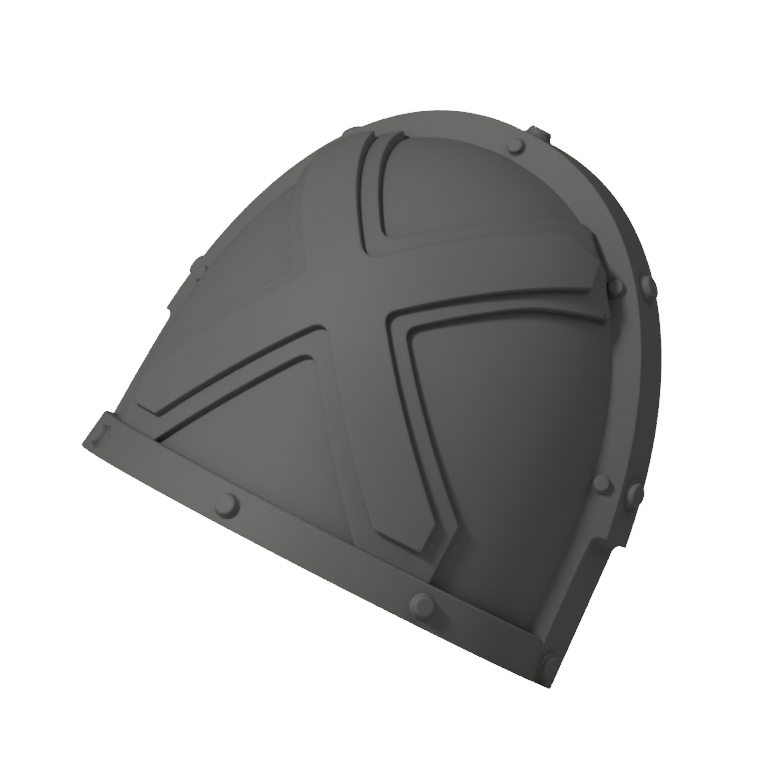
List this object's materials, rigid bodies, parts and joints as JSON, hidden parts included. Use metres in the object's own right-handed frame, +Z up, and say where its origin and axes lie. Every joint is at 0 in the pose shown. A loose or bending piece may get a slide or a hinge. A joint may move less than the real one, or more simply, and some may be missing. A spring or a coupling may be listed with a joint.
{
  "type": "pauldron",
  "caption": "Rigid domed shoulder plate with a folded rim round the arch, a bottom band, a raised two-layer saltire and riveted edges, open at the back and bottom",
  "frame": {"origin": "middle of the footprint, on the ground", "axes": "+X to the object's side, across the arch; -Y out of the domed front and +Y out of the open back; +Z up, from the bottom band to the crown of the arch"},
  "size_m": [0.2838, 0.1418, 0.2456],
  "materials": {
    "plate": "matte",
    "rivet": "matte"
  },
  "bodies": {
    "root": {"dome_shell": "plate", "arch_rim": "plate", "bottom_band": "plate", "saltire_base": "plate", "saltire_top": "plate", "rim_outer_rivet_1": "rivet", "rim_outer_rivet_2": "rivet", "rim_outer_rivet_3": "rivet", "rim_outer_rivet_4": "rivet", "rim_outer_rivet_5": "rivet", "rim_front_rivet_1": "rivet", "rim_front_rivet_2": "rivet", "rim_front_rivet_3": "rivet", "rim_front_rivet_4": "rivet", "rim_front_rivet_5": "rivet", "band_rivet_1": "rivet", "band_rivet_2": "rivet", "band_rivet_3": "rivet", "band_rivet_4": "rivet", "band_rivet_5": "rivet"}
  },
  "joints": []
}
